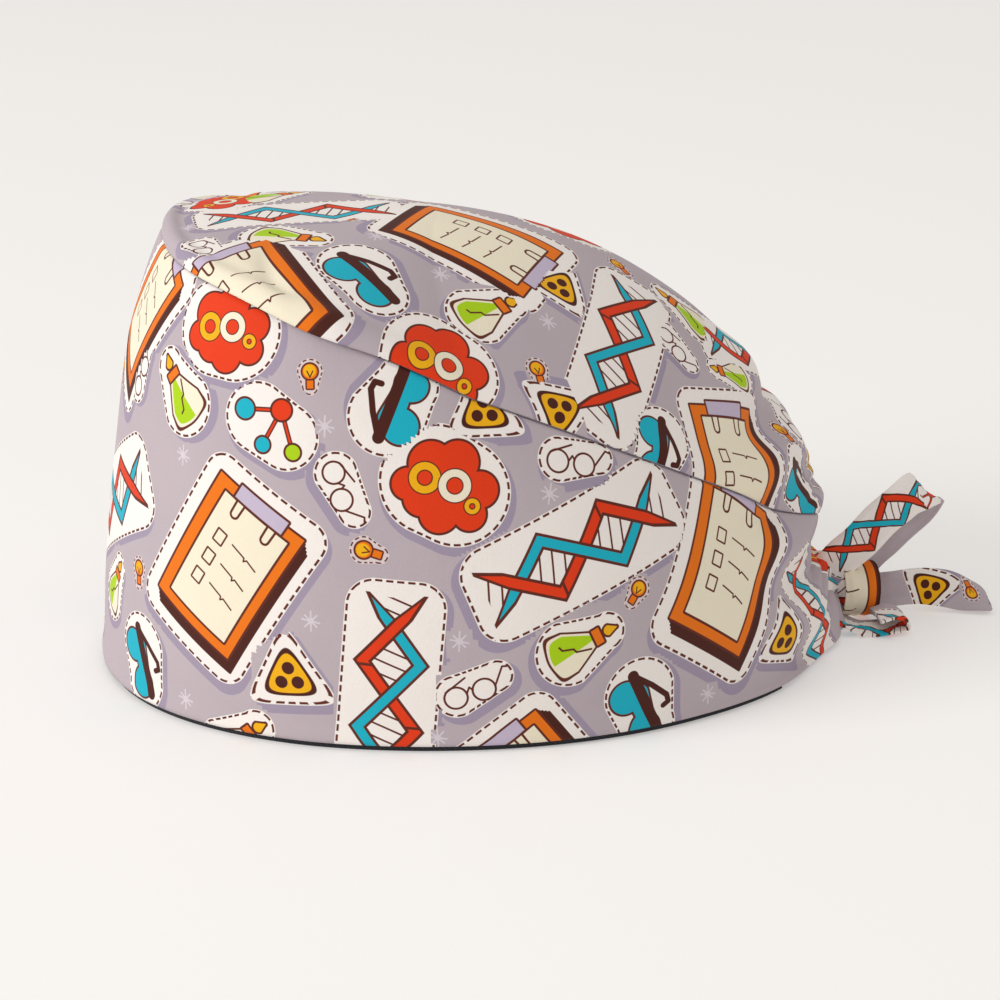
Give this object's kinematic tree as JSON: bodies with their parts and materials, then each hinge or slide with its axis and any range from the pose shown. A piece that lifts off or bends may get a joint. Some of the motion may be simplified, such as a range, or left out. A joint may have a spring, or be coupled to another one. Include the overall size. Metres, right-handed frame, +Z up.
{
  "type": "tie-back surgical scrub cap",
  "caption": "Printed cotton surgical scrub cap with a tall side band, a domed crown sewn to it, a dark inner sweatband and a gathered back tied in a small bow.",
  "frame": {"origin": "middle of the whole cap's footprint, ties included, on the surface that the sweatband's lower edge rests on", "axes": "+Z up, -Y towards the forehead, +Y towards the gathered and tied back, +X towards the wearer's left side"},
  "size_m": [0.174, 0.2728, 0.1339],
  "materials": {
    "printed_cotton": "mauve-grey poplin with a print of laboratory stickers: white patches with dashed brown outlines",
    "dark_cotton": "charcoal cotton binding, matt"
  },
  "bodies": {
    "root": {"side_band": "printed_cotton", "crown": "printed_cotton", "sweatband": "dark_cotton", "tie_knot": "printed_cotton", "tie_loop": "printed_cotton", "tie_tail": "printed_cotton", "tie_fold": "printed_cotton"}
  },
  "joints": []
}
